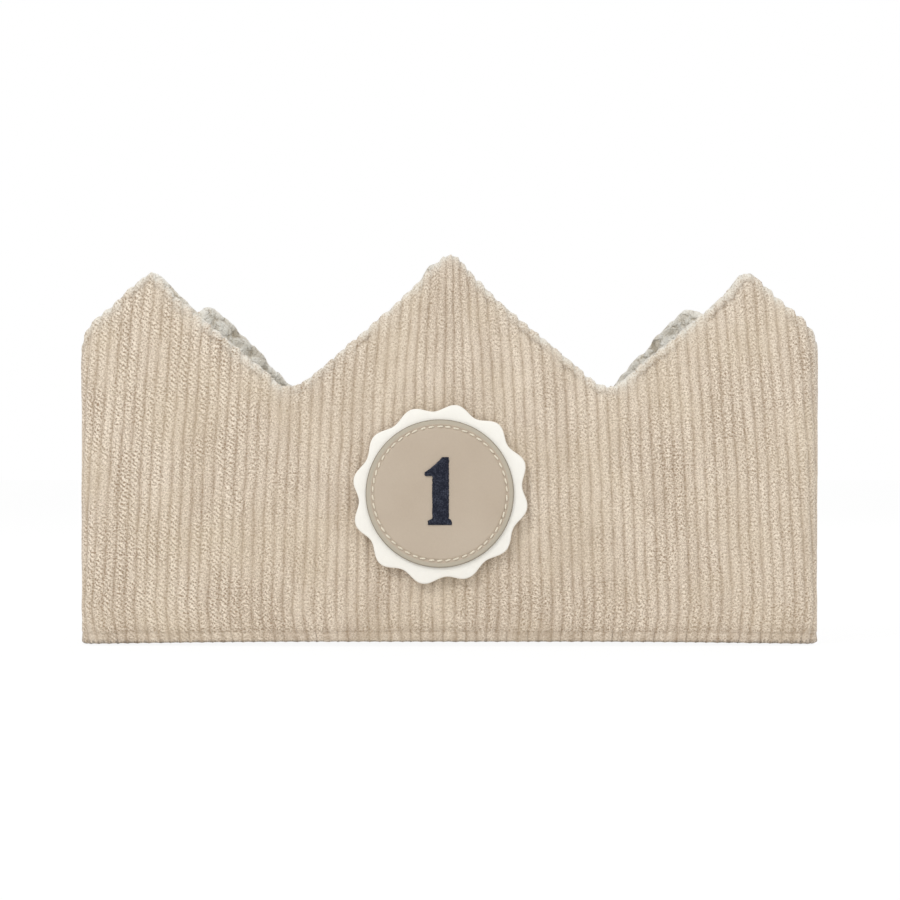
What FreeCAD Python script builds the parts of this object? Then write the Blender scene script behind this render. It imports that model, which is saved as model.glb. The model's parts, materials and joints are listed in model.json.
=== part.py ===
"""A child's birthday crown sewn from wide-wale corduroy, lined with teddy fleece, with a badge on the front.

Millimetres, +Z up. The crown stands on its bottom edge, its front faces -Y, and the origin is in the
middle of the ring at the bottom edge. The band is one strip: it starts at the tucked end behind, runs round
the left fold, the front and the right fold, and ends on top of its own start, where hook-and-loop tape
closes it. Places along the band are lengths measured from the middle of the front, plus to the right and
minus to the left. Offsets are distances outside the ground of the corduroy, so the inner layers' are
negative.
"""
import FreeCAD, Part
import math
import os

from FreeCAD import Vector

# The ring, seen from above
front_width = 238.0          # across the two side folds, over the wales
front_bow_radius = 1800.0    # the front is almost flat
back_radius = 170.0          # the back is bowed out
fold_inner_radius = 1.2      # inside the side folds, at the lining
closure_overlap = 40.0       # how far the closing end lies over the tucked end
closing_bend = 10.0          # degrees before the middle where the closing end meets the tucked one

# The layers of the band
wale_pitch = 3.386
wale_height = 0.8
wale_facets = 4              # flat faces across one wale
ground_thickness = 1.1       # corduroy under its wales
interlining_thickness = 0.8
lining_thickness = 3.6
layer_gap = 0.1
turn_in = 5.0                # corduroy turned over the interlining's edges, upright or along the band
interlining_clearance = 0.4  # between the interlining's edge and the turned-in corduroy

# The upper outline of the flat strip: places along it, and heights before the corners are rounded
centre_peak_height = 127.0
centre_bend_along = 15.0     # where the centre peak's flanks turn less steep
centre_bend_height = 111.2
valley_start_along = 47.5    # the front valleys have a short floor
valley_start_height = 83.6
valley_end_along = 53.2
valley_end_height = 82.8
side_bend_along = 88.3       # where the side peaks' inner flanks turn steeper
side_bend_height = 112.2
side_peak_along = 95.4
side_peak_height = 121.4
side_valley_along = 136.0
side_valley_height = 82.4
back_peak_along = 171.5
back_peak_height = 110.8
band_along = 211.5           # where the plain band of the closure starts
band_height = 73.0
closing_ease = 3.5           # how much further out the closing end's own back peak and band lie
peak_rounding = 3.5          # half the length of the rounded tip
valley_rounding = 5.5
bend_rounding = 2.5          # of the bends in the flanks and the ends of the valleys' floors

# Hook-and-loop tape of the closure
tape_thickness = 1.1
tape_width = 32.0
tape_height = 46.0
tape_bottom = 14.0

# The badge
badge_x = -3.1
badge_z = 48.8
dot_radius = 14.0
dot_thickness = 1.0
rosette_radius = 27.4        # mean of the scalloped edge
scallop_depth = 1.2          # either side of the mean
scallop_count = 12
scallop_turn = 19.4          # degrees that the first scallop is turned from +X
rosette_thickness = 1.1
disc_radius = 23.6
disc_thickness = 1.3
disc_bevel = 0.5
stitch_radius = 21.4
stitch_groove_depth = 0.3
stitch_groove_width = 1.4
numeral_height = 21.8
numeral_right = 0.0          # how far the stem's middle lies right of the disc's
numeral_rise = 0.8           # how far the figure's middle lies above the disc's
numeral_thickness = 0.4
stem_width = 4.9
flag_top = 2.0               # width of the figure's top edge
flag_reach = 2.6             # how far the flag juts out left of the stem
flag_drop = 4.9              # how far its tip lies below the top
flag_edge = 1.2              # height of its blunt tip
flag_hollow = 0.6
foot_reach = 1.4             # how far the foot juts out either side of the stem
foot_rise = 2.1
foot_edge = 1.4              # height of its blunt tips
seat_gap = 0.05              # between pieces that lie on each other

# Worked out from the sizes above
shell_thickness = ground_thickness + layer_gap + interlining_thickness
lining_face = shell_thickness + layer_gap
inner_face = lining_face + lining_thickness
fold_radius = fold_inner_radius + inner_face
closure_step = inner_face + wale_height + 2 * tape_thickness + 3 * seat_gap
loop_depth = seat_gap        # depths in front of the wales, of the back of each piece of the badge
hook_depth = loop_depth + dot_thickness + seat_gap
rosette_depth = hook_depth + dot_thickness + seat_gap
disc_depth = rosette_depth + rosette_thickness + seat_gap
numeral_depth = disc_depth + disc_thickness
badge_depth = numeral_depth + numeral_thickness
tool_margin = 0.4            # how far the cut above the outline reaches past the layer that it cuts
tool_top = centre_peak_height + side_peak_height + back_peak_height

# Where the facets of the upper outline meet
corner_stops = (-1, -0.4, 0.4, 1)   # across each peak and valley, as shares of its half-length
bend_stops = (-1, 1)                # across each bend
fold_step = math.radians(20)        # round the side folds
bow_step = math.radians(5)          # round the wide arcs
closest_stops = 0.3                 # stops nearer than this are one


def half_path(front_y, step):
    """The ground of the corduroy from the middle of the front to one end, on the right-hand half.

    It is a list of arcs, each (centre, radius, start, end). step lifts the end off the back's own arc, and
    is 0 for the tucked end.
    """
    bow_centre = Vector(0, front_y + front_bow_radius)
    fold_x = front_width / 2 - wale_height - fold_radius
    fold_y = bow_centre.y - math.sqrt((front_bow_radius - fold_radius) ** 2 - fold_x ** 2)
    fold_centre = Vector(fold_x, fold_y)
    back_centre = Vector(0, fold_y - math.sqrt((back_radius - fold_radius) ** 2 - fold_x ** 2))
    bend = math.radians(90 - closing_bend)
    outward = Vector(math.cos(bend), math.sin(bend))
    touch = back_centre + outward * (back_radius + step)
    across = fold_centre - touch
    side_radius = (fold_radius ** 2 - across.Length ** 2) / (2 * (across.dot(outward) + fold_radius))
    side_centre = touch - outward * side_radius
    from_bow = fold_centre - bow_centre
    from_side = fold_centre - side_centre
    bow_end = math.atan2(from_bow.y, from_bow.x)
    fold_end = math.atan2(from_side.y, from_side.x)
    last_end = math.pi / 2 + closure_overlap / 2 / back_radius
    return [
        (bow_centre, front_bow_radius, -math.pi / 2, bow_end),
        (fold_centre, fold_radius, bow_end, fold_end),
        (side_centre, side_radius, fold_end, bend),
        (back_centre, back_radius + step, bend, last_end),
    ]


def ring_front_y():
    """Where the front's ground lies so that the whole crown, badge included, is centred on the origin."""
    back_centre, radius, _, _ = half_path(0.0, closure_step)[-1]
    back = back_centre.y + radius + wale_height
    front = -wale_height - badge_depth
    return -(front + back) / 2


def arc_length(arc):
    _, radius, start, end = arc
    return radius * (end - start)


front_y = ring_front_y()
closing_half = half_path(front_y, closure_step)
tucked_half = half_path(front_y, 0.0)
closing_end = sum(arc_length(arc) for arc in closing_half)
tucked_end = -sum(arc_length(arc) for arc in tucked_half)


def at(along, offset, z=0.0):
    """The point of the band at a place along it, an offset and a height."""
    arcs = closing_half if along >= 0 else tucked_half
    left = abs(along)
    for arc in arcs[:-1]:
        if left <= arc_length(arc):
            break
        left -= arc_length(arc)
    else:
        arc = arcs[-1]
    centre, radius, start, _ = arc
    angle = start + left / radius
    x = centre.x + (radius + offset) * math.cos(angle)
    y = centre.y + (radius + offset) * math.sin(angle)
    return Vector(math.copysign(1, along) * x, y, z)


def arc_joins():
    """The places along the band where one arc of its plan meets the next."""
    places = [0.0]
    for arcs, side in ((tucked_half, -1), (closing_half, 1)):
        for count in range(1, len(arcs)):
            places.append(side * sum(arc_length(arc) for arc in arcs[:count]))
    return sorted(places)


def plain_edges(first, last, offset):
    """The edges of a smooth layer's face, seen from above."""
    stops = [first] + [place for place in arc_joins() if first < place < last] + [last]
    return [Part.Arc(at(a, offset), at((a + b) / 2, offset), at(b, offset)).toShape()
            for a, b in zip(stops[:-1], stops[1:])]


def wale_edges():
    """The edges of the corduroy's outer face, seen from above. Each wale swells as half a sine wave."""
    count = wale_facets * round((closing_end - tucked_end) / wale_pitch)
    points = []
    for k in range(count + 1):
        swell = wale_height * abs(math.sin(math.pi * k / wale_facets))
        points.append(at(tucked_end + (closing_end - tucked_end) * k / count, swell))
    return [Part.makeLine(a, b) for a, b in zip(points[:-1], points[1:])]


def corners(side):
    """The outline's corners, (distance, height, rounding), on the closing side, 1, or the tucked, -1."""
    ease = closing_ease if side > 0 else 0.0
    return [
        (0.0, centre_peak_height, peak_rounding),
        (centre_bend_along, centre_bend_height, bend_rounding),
        (valley_start_along, valley_start_height, bend_rounding),
        (valley_end_along, valley_end_height, bend_rounding),
        (side_bend_along, side_bend_height, bend_rounding),
        (side_peak_along, side_peak_height, peak_rounding),
        (side_valley_along, side_valley_height, valley_rounding),
        (back_peak_along + ease, back_peak_height, peak_rounding),
        (band_along + ease, band_height, valley_rounding),
    ]


def flank_height(distance, side):
    """The height of the sharp-cornered outline at a distance from the middle of the front."""
    for (x0, z0, _), (x1, z1, _) in zip(corners(side)[:-1], corners(side)[1:]):
        if distance <= x1:
            return z0 + (z1 - z0) * (distance - x0) / (x1 - x0)
    return band_height


def outline_height(along):
    """The height of the band at a place along it. Corners are parabolas between their two flanks."""
    side = math.copysign(1, along)
    for corner, height, reach in corners(side):
        t = (abs(along) - corner + reach) / (2 * reach)
        if 0 < t < 1:
            before = flank_height(abs(corner - reach), side)
            after = flank_height(corner + reach, side)
            return (1 - t) ** 2 * before + 2 * t * (1 - t) * height + t ** 2 * after
    return flank_height(abs(along), side)


def outline_stops(first, last):
    """The places where the upper outline's facets meet: at the tips, round the folds and along the back."""
    stops = [first, last] + arc_joins()
    for arcs, side in ((tucked_half, -1), (closing_half, 1)):
        for corner, _, reach in corners(side):
            shares = bend_stops if reach == bend_rounding else corner_stops
            stops += [side * (corner + reach * share) for share in shares]
        run = 0.0
        for arc in arcs:
            _, radius, start, end = arc
            step = fold_step if radius == fold_radius else bow_step
            pieces = math.ceil((end - start) / step)
            stops += [side * (run + arc_length(arc) * k / pieces) for k in range(pieces)]
            run += arc_length(arc)
    merged = []
    for place in sorted(stop for stop in stops if first <= stop <= last):
        if not merged or place - merged[-1] > closest_stops:
            merged.append(place)
    return merged[:-1] + [last]


def space_above(first, last, outer, inner, drop):
    """The space above the band's outline lowered by drop, as a polyhedron that follows the band."""
    columns = []
    for place in outline_stops(first, last):
        height = outline_height(place) - drop
        columns.append([at(place, outer, height), at(place, inner, height),
                        at(place, inner, tool_top), at(place, outer, tool_top)])
    faces = []
    for a, b in zip(columns[:-1], columns[1:]):
        for side in range(4):
            after = (side + 1) % 4
            faces.append(Part.Face(Part.makePolygon([a[side], a[after], b[after], a[side]])))
            faces.append(Part.Face(Part.makePolygon([a[side], b[after], b[side], a[side]])))
    for column in (columns[0], columns[-1]):
        faces.append(Part.Face(Part.makePolygon(column + [column[0]])))
    return Part.Solid(Part.Shell(faces))


def layer(first, last, outer_edges, outer, inner, bottom, drop):
    """One layer of the band: its plan drawn up from bottom and cut to the outline lowered by drop."""
    ends = [Part.makeLine(at(place, outer), at(place, inner)) for place in (first, last)]
    edges = outer_edges + plain_edges(first, last, inner) + ends
    section = Part.Face(Part.Wire(Part.__sortEdges__(edges)))
    section.translate(Vector(0, 0, bottom))
    block = section.extrude(Vector(0, 0, tool_top - tool_margin - bottom))
    above = space_above(first - tool_margin, last + tool_margin, outer + wale_height + tool_margin,
                        inner - tool_margin, drop)
    return block.cut(above)


def plain_layer(first, last, outer, inner, bottom, drop):
    return layer(first, last, plain_edges(first, last, outer), outer, inner, bottom, drop)


def outer_corduroy():
    """The corduroy strip. Its edges are turned in, and leave a pocket for the interlining."""
    whole = layer(tucked_end, closing_end, wale_edges(), 0.0, -shell_thickness, 0.0, 0.0)
    pocket = plain_layer(tucked_end + turn_in, closing_end - turn_in, -ground_thickness,
                         -shell_thickness - layer_gap / 2, turn_in, turn_in)
    return whole.cut(pocket)


def interlining():
    inset = turn_in + interlining_clearance
    return plain_layer(tucked_end + inset, closing_end - inset, -ground_thickness - layer_gap,
                       -shell_thickness, inset, inset)


def fleece_lining():
    return plain_layer(tucked_end, closing_end, -lining_face, -inner_face, 0.0, 0.0)


def closure_tape(inner_radius):
    """A strip of tape bent round the back, in the middle of the overlap."""
    centre = tucked_half[-1][0]
    half_angle = math.degrees(tape_width / 2 / back_radius)
    axis = Vector(0, 0, 1)
    section = Part.makePlane(tape_thickness, tape_height)
    section.rotate(Vector(0, 0, 0), Vector(1, 0, 0), 90)
    section.translate(centre + Vector(inner_radius, 0, tape_bottom))
    section.rotate(centre, axis, 90 - half_angle)
    return section.revolve(centre, axis, 2 * half_angle)


def closure_loop_strip():
    return closure_tape(back_radius + wale_height + seat_gap)


def closure_hook_strip():
    return closure_tape(back_radius + wale_height + tape_thickness + 2 * seat_gap)


def badge_place(depth):
    """The badge's centre, a depth in front of the wales."""
    return Vector(badge_x, front_y - wale_height - depth, badge_z)


def badge_plate(wire, depth, thickness):
    """A flat piece of the badge: its outline, drawn about (0, 0) in X and Z, at its place."""
    plate = Part.Face(wire).extrude(Vector(0, -thickness, 0))
    plate.translate(badge_place(depth))
    return plate


def badge_loop_dot():
    return Part.makeCylinder(dot_radius, dot_thickness, badge_place(loop_depth), Vector(0, -1, 0))


def badge_hook_dot():
    return Part.makeCylinder(dot_radius, dot_thickness, badge_place(hook_depth), Vector(0, -1, 0))


def scallop_point(quarter):
    """A point of the scalloped edge, counted in quarters of a scallop from the crest of the first."""
    angle = math.radians(scallop_turn) + math.pi * quarter / (2 * scallop_count)
    radius = rosette_radius + scallop_depth * math.cos(math.pi * quarter / 2)
    return Vector(radius * math.cos(angle), 0, radius * math.sin(angle))


def badge_rosette():
    """The scalloped backing: round crests and round hollows by turns."""
    edges = [Part.Arc(scallop_point(k - 1), scallop_point(k), scallop_point(k + 1)).toShape()
             for k in range(0, 4 * scallop_count, 2)]
    return badge_plate(Part.Wire(edges), rosette_depth, rosette_thickness)


def badge_disc():
    """The disc, turned about its axis: a bevelled edge and the channel that its stitches pull in."""
    half_groove = stitch_groove_width / 2
    profile = [
        (0.0, 0.0),
        (disc_radius, 0.0),
        (disc_radius, disc_thickness - disc_bevel),
        (disc_radius - disc_bevel, disc_thickness),
        (stitch_radius + half_groove, disc_thickness),
        (stitch_radius, disc_thickness - stitch_groove_depth),
        (stitch_radius - half_groove, disc_thickness),
        (0.0, disc_thickness),
        (0.0, 0.0),
    ]
    section = Part.Face(Part.makePolygon([Vector(radius, -height, 0) for radius, height in profile]))
    disc = section.revolve(Vector(0, 0, 0), Vector(0, 1, 0), 360)
    disc.translate(badge_place(disc_depth))
    return disc


def badge_numeral():
    """The figure 1: a stem with a hollowed flag at the top left and a flared foot."""
    right = stem_width / 2
    top = numeral_height / 2
    flag_start = Vector(right - flag_top, 0, top)
    flag_tip = Vector(-right - flag_reach, 0, top - flag_drop)
    chord = flag_start - flag_tip
    sag = Vector(chord.z, 0, -chord.x) * (flag_hollow / chord.Length)
    flag = Part.Arc(flag_start, (flag_start + flag_tip) / 2 + sag, flag_tip)
    outline = [
        flag_tip,
        Vector(-right - flag_reach, 0, top - flag_drop - flag_edge),
        Vector(-right, 0, top - flag_drop - flag_edge),
        Vector(-right, 0, foot_rise - top),
        Vector(-right - foot_reach, 0, foot_edge - top),
        Vector(-right - foot_reach, 0, -top),
        Vector(right + foot_reach, 0, -top),
        Vector(right + foot_reach, 0, foot_edge - top),
        Vector(right, 0, foot_rise - top),
        Vector(right, 0, top),
        flag_start,
    ]
    edges = [Part.makeLine(a, b) for a, b in zip(outline[:-1], outline[1:])]
    wire = Part.Wire(Part.__sortEdges__(edges + [flag.toShape()]))
    wire.translate(Vector(numeral_right, 0, numeral_rise))
    return badge_plate(wire, numeral_depth, numeral_thickness)


PIECES = (
    outer_corduroy, interlining, fleece_lining, closure_loop_strip, closure_hook_strip,
    badge_loop_dot, badge_hook_dot, badge_rosette, badge_disc, badge_numeral,
)

os.makedirs("parts", exist_ok=True)
for piece in PIECES:
    shape = piece()
    shape.exportStep(f"parts/{piece.__name__}.step")
    box = shape.BoundBox
    print(piece.__name__, shape.ShapeType, len(shape.Solids), shape.isValid(), round(shape.Volume, 1),
          [round(v, 2) for v in (box.XMin, box.YMin, box.ZMin, box.XMax, box.YMax, box.ZMax)])
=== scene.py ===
import json
import math

import bmesh
import bpy
import numpy as np
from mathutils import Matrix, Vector

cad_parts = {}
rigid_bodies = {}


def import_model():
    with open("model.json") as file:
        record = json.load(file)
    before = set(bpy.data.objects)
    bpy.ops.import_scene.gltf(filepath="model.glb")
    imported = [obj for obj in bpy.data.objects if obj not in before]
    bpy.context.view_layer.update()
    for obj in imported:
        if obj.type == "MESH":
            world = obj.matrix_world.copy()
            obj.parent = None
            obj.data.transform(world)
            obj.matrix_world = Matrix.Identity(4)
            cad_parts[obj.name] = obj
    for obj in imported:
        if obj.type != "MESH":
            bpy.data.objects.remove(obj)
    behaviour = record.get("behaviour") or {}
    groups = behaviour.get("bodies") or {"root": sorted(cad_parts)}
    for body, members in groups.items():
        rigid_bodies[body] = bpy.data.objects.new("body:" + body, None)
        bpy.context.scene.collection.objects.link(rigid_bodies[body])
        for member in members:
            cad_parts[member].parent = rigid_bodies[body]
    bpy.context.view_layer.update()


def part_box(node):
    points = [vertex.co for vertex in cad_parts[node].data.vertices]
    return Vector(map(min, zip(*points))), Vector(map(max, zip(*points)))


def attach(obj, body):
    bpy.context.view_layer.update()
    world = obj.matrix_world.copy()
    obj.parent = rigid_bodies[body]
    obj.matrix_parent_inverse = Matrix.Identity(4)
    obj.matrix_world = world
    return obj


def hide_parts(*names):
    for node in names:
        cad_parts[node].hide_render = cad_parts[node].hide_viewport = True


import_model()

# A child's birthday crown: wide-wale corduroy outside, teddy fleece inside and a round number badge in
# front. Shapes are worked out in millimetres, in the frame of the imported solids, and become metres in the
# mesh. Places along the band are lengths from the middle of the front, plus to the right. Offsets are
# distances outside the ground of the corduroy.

MM = 0.001

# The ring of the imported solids, seen from above
FRONT_WIDTH = 238.0
FRONT_BOW_RADIUS = 1800.0
BACK_RADIUS = 170.0
CLOSURE_OVERLAP = 40.0
CLOSING_BEND = 10.0
WALE_HEIGHT = 0.8
SHELL_THICKNESS = 2.0
LINING_FACE = 2.1
INNER_FACE = 5.7
FOLD_RADIUS = 6.9
CLOSURE_STEP = 8.85
BADGE_DEPTH = 5.0
WALE_SPACING = 3.386
FOLD_PLACE = 118.0
FRONT_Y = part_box("badge_numeral")[0][1] / MM + BADGE_DEPTH + WALE_HEIGHT

# The upper outline: places, heights before rounding, and half the length of the rounding
CORNERS = np.array([
    (0.0, 127.0, 3.5),
    (15.0, 111.2, 2.5),
    (47.5, 83.6, 2.5),
    (53.2, 82.8, 2.5),
    (88.3, 112.2, 2.5),
    (95.4, 121.4, 3.5),
    (136.0, 82.4, 5.5),
    (171.5, 110.8, 3.5),
    (211.5, 73.0, 5.5),
])
# On the closing half the corners past EASE_FROM stand this much farther along
CLOSING_EASE = 3.5
EASE_FROM = 150.0
STEEPEST = 1.6

# Distances of the seam and of the hem from their edges
SEAM_INSET = 2.5
HEM_INSET = 3.4

# The badge
BADGE_X = -3.1
BADGE_Z = 48.8
DISC_RADIUS = 23.65
STITCH_RADIUS = 21.4
STITCH_COUNT = 50
ROSETTE_RADIUS = 27.43


# Noise, the same at each run

def waves(x, y, seed):
    """Smooth noise from -1 to 1: random values at whole places, blended between them by 3t^2 - 2t^3. It
    repeats after 256."""
    table = np.random.default_rng(seed).uniform(-1, 1, (256, 256))
    x, y = np.broadcast_arrays(np.asarray(x, float), np.asarray(y, float))
    x0, y0 = np.floor(x).astype(int), np.floor(y).astype(int)
    tx, ty = x - x0, y - y0
    tx, ty = tx * tx * (3 - 2 * tx), ty * ty * (3 - 2 * ty)
    a, b = table[x0 % 256, y0 % 256], table[(x0 + 1) % 256, y0 % 256]
    c, d = table[x0 % 256, (y0 + 1) % 256], table[(x0 + 1) % 256, (y0 + 1) % 256]
    return (a * (1 - tx) + b * tx) * (1 - ty) + (c * (1 - tx) + d * tx) * ty


def curls(x, y, size, seed):
    """Round tufts: for each point, the height of the highest of the domes that stand at jittered places of
    a grid, size apart. A dome is its own height times the root of 1 - (distance / radius)^2."""
    random = np.random.default_rng(seed)
    jitter = random.uniform(0.1, 0.9, (128, 128, 2))
    radius = random.uniform(0.62, 0.95, (128, 128))
    tall = random.uniform(0.55, 1.0, (128, 128))
    x, y = np.broadcast_arrays(x / size, y / size)
    x0, y0 = np.floor(x).astype(int), np.floor(y).astype(int)
    best = np.zeros(x.shape)
    for across in (-1, 0, 1):
        for up in (-1, 0, 1):
            i, j = (x0 + across) % 128, (y0 + up) % 128
            aside = x0 + across + jitter[i, j, 0] - x
            above = y0 + up + jitter[i, j, 1] - y
            near = np.hypot(aside, above) / radius[i, j]
            best = np.maximum(best, tall[i, j] * np.sqrt(np.clip(1 - near ** 2, 0, 1)))
    return best


# The band's plan and outline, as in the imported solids

def half_plan(step):
    """One half of the ring from the middle of the front: the arcs' x, y, radius and first angle, and the
    place where each begins. The front's wide arc, the fold's small one, the side's and the back's follow
    each other without a kink; step lifts the end off the back."""
    bow = np.array([0.0, FRONT_Y + FRONT_BOW_RADIUS])
    fold_x = FRONT_WIDTH / 2 - WALE_HEIGHT - FOLD_RADIUS
    fold = np.array([fold_x, bow[1] - math.sqrt((FRONT_BOW_RADIUS - FOLD_RADIUS) ** 2 - fold_x ** 2)])
    back = np.array([0.0, fold[1] - math.sqrt((BACK_RADIUS - FOLD_RADIUS) ** 2 - fold_x ** 2)])
    bend = math.radians(90 - CLOSING_BEND)
    outward = np.array([math.cos(bend), math.sin(bend)])
    across = fold - back - outward * (BACK_RADIUS + step)
    side_radius = (FOLD_RADIUS ** 2 - across @ across) / (2 * (across @ outward + FOLD_RADIUS))
    side = back + outward * (BACK_RADIUS + step - side_radius)
    bow_end = math.atan2(*(fold - bow)[::-1])
    fold_end = math.atan2(*(fold - side)[::-1])
    arcs = np.array([
        (*bow, FRONT_BOW_RADIUS, -math.pi / 2, bow_end),
        (*fold, FOLD_RADIUS, bow_end, fold_end),
        (*side, side_radius, fold_end, bend),
        (*back, BACK_RADIUS + step, bend, math.pi / 2 + CLOSURE_OVERLAP / 2 / BACK_RADIUS),
    ])
    lengths = arcs[:, 2] * (arcs[:, 4] - arcs[:, 3])
    return arcs[:, :4], np.concatenate([[0.0], np.cumsum(lengths)])


CLOSING_HALF, CLOSING_PLACES = half_plan(CLOSURE_STEP)
TUCKED_HALF, TUCKED_PLACES = half_plan(0.0)
CLOSING_END = CLOSING_PLACES[-1]
TUCKED_END = -TUCKED_PLACES[-1]
WALE_COUNT = round((CLOSING_END - TUCKED_END) / WALE_SPACING)
WALE_PITCH = (CLOSING_END - TUCKED_END) / WALE_COUNT


def on_band(along, offset, z):
    """Points (x, y, z) of the band. A place along it falls on an arc at the angle first + left / radius."""
    def on_half(arcs, places):
        """x and y as on the right half."""
        distance = np.abs(along)
        which = np.clip(np.searchsorted(places, distance) - 1, 0, 3)
        x, y, radius, first = (arcs[which, column] for column in range(4))
        angle = first + (distance - places[which]) / radius
        return x + (radius + offset) * np.cos(angle), y + (radius + offset) * np.sin(angle)

    right, left = on_half(CLOSING_HALF, CLOSING_PLACES), on_half(TUCKED_HALF, TUCKED_PLACES)
    x = np.where(along >= 0, right[0], -left[0])
    y = np.where(along >= 0, right[1], left[1])
    return np.stack([x, y, np.broadcast_to(z, x.shape)], -1)


def outline(along):
    """Height of the band's upper edge: straight flanks between the corners, and each corner rounded by a
    parabola that touches both flanks."""
    place = np.abs(along)
    place = place - CLOSING_EASE * ((along > 0) & (place > EASE_FROM))
    height = np.interp(place, CORNERS[:, 0], CORNERS[:, 1])
    for corner, top, reach in CORNERS:
        t = (place - corner + reach) / (2 * reach)
        before = np.interp(abs(corner - reach), CORNERS[:, 0], CORNERS[:, 1])
        after = np.interp(corner + reach, CORNERS[:, 0], CORNERS[:, 1])
        curve = (1 - t) ** 2 * before + 2 * t * (1 - t) * top + t ** 2 * after
        height = np.where((t > 0) & (t < 1), curve, height)
    return height


def steepness(top, place):
    """Length of the upper edge to a millimetre of the band: the root of 1 + slope^2, the slope being held
    to STEEPEST either way."""
    slope = np.clip(np.gradient(top, place), -STEEPEST, STEEPEST)
    return np.sqrt(1 + slope ** 2)


def lower_edge(along):
    """Height of the band's lower edge: 1.05 mm within 34 mm of the middle of the front, and from there a
    quarter of a sine wave down to 0.15 mm at the side folds."""
    front = np.clip(1.4 - 1.4 * np.abs(along) / FOLD_PLACE, 0, 1)
    return 0.15 + 0.9 * np.sin(np.pi / 2 * front)


def wale_lean(along, z):
    """How far the wales stand right of their place in the ground at a height. Above 42 mm they draw
    together towards the middle of the front, ever faster, and below it they spread: a reach that grows
    from nothing in the middle to 4.3 mm at the side folds, times the rise. It fades out in the 30 mm behind
    the folds. The spread falls off below 12 mm, where the hem holds the wales, and above 86 mm the middle
    point gathers them by up to 0.15 of their place."""
    share = np.clip(np.abs(along) / FOLD_PLACE, 0, 1)
    reach = 3.0 * (1 - np.exp(-share / 0.18)) + 1.3 * share ** 4
    behind = np.clip((np.abs(along) - FOLD_PLACE - 2) / 30, 0, 1)
    rise = (z - 42) / 76
    rise = rise * (1 + 0.5 * np.clip(rise, 0, None))
    hem = np.clip((z - 2) / 10, 0, 1)
    rise = np.where(z < 12, -0.395 * hem ** 0.8, rise)
    gather = along * 0.15 * np.clip((z - 86) / 32, 0, 1) * np.exp(-(along / 24) ** 2)
    return -np.sign(along) * reach * rise * (1 - behind) * (z > 2) - gather


def leaning_top(place):
    """Height at which the wale from a place in the ground meets the upper edge. It leans on its way up, so
    the outline is read again at the place plus the lean, three times."""
    height = outline(place)
    for _ in range(3):
        height = outline(place + wale_lean(place, height))
    return height


# Meshes

def grid_of(points):
    """The number of each point of a grid, (columns, rows, 3)."""
    return np.arange(points.shape[0] * points.shape[1]).reshape(points.shape[:2])


def sleeve_mesh(name, points):
    """A mesh from a grid of points in millimetres, (columns, rows, 3). The rows run round the section and
    join up. The first and the last section have no thickness, which closes the piece."""
    index = grid_of(points)
    after = np.roll(index, -1, axis=1)
    return mesh_from(name, points, np.stack([index[:-1], index[1:], after[1:], after[:-1]], -1))


def turned_mesh(name, points):
    """A closed mesh from a grid of points in millimetres, (angles, rows, 3), that runs round the badge's
    middle. The first and the last row lie at the middle."""
    index = grid_of(points)
    after = np.roll(index, -1, axis=0)
    return mesh_from(name, points, np.stack([index[:, :-1], after[:, :-1], after[:, 1:], index[:, 1:]], -1))


def mesh_from(name, points, faces):
    """A smooth-shaded piece from points in millimetres and faces of four numbers."""
    points = points.reshape(-1, 3)
    faces = faces.reshape(-1, 4)
    mesh = bpy.data.meshes.new(name)
    mesh.vertices.add(len(points))
    mesh.vertices.foreach_set("co", (np.asarray(points, np.float32) * MM).ravel())
    mesh.loops.add(faces.size)
    mesh.loops.foreach_set("vertex_index", faces.ravel().astype(np.int32))
    mesh.polygons.add(len(faces))
    mesh.polygons.foreach_set("loop_start", np.arange(0, faces.size, 4, dtype=np.int32))
    mesh.update(calc_edges=True)
    mesh.polygons.foreach_set("use_smooth", np.ones(len(faces), bool))
    piece = bpy.data.objects.new(name, mesh)
    bpy.context.collection.objects.link(piece)
    return piece


def weld(piece):
    """Vertices at one place become one, and faces that have collapsed go."""
    work = bmesh.new()
    work.from_mesh(piece.data)
    bmesh.ops.remove_doubles(work, verts=work.verts, dist=2e-6)
    bmesh.ops.dissolve_degenerate(work, edges=work.edges, dist=1e-7)
    work.to_mesh(piece.data)
    work.free()
    piece.data.polygons.foreach_set("use_smooth", np.ones(len(piece.data.polygons), bool))
    return piece


def keep_pattern(piece, name, values):
    """Stores three values for each vertex, for a material to read."""
    layer = piece.data.attributes.new(name, "FLOAT_VECTOR", "POINT")
    layer.data.foreach_set("vector", np.asarray(values, np.float32).reshape(-1))


def rounded(distance, radius):
    """How full a layer is at a distance from its edge: the root of 1 - (1 - distance / radius)^2."""
    inside = np.clip(distance / radius, 0, 1)
    return np.sqrt(np.clip(1 - (1 - inside) ** 2, 0, 1))


def row_heights(bottom, top, stretch, share, low, high):
    """Heights of a face's rows in each column: low above the lower edge, then by their share of the way,
    then high times stretch below the upper edge."""
    start = bottom + low[-1]
    stop = top - high[0] * stretch
    return np.concatenate([
        bottom[:, None] + low[None],
        start[:, None] + (stop - start)[:, None] * share[None],
        top[:, None] - high[None] * stretch[:, None],
    ], axis=1)


def two_faces(shown, hidden):
    """The rows up the shown face and down the hidden one, and 1 for the shown rows, 0 for the others."""
    z = np.concatenate([shown, hidden[:, ::-1]], axis=1)
    return z, np.concatenate([np.ones(shown.shape[1]), np.zeros(hidden.shape[1])])[None]


def strip_area(top, place):
    """Area under the upper edge, in square metres: mean heights times steps, added up."""
    return float(np.sum((top[1:] + top[:-1]) / 2 * np.diff(place))) * MM * MM


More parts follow.
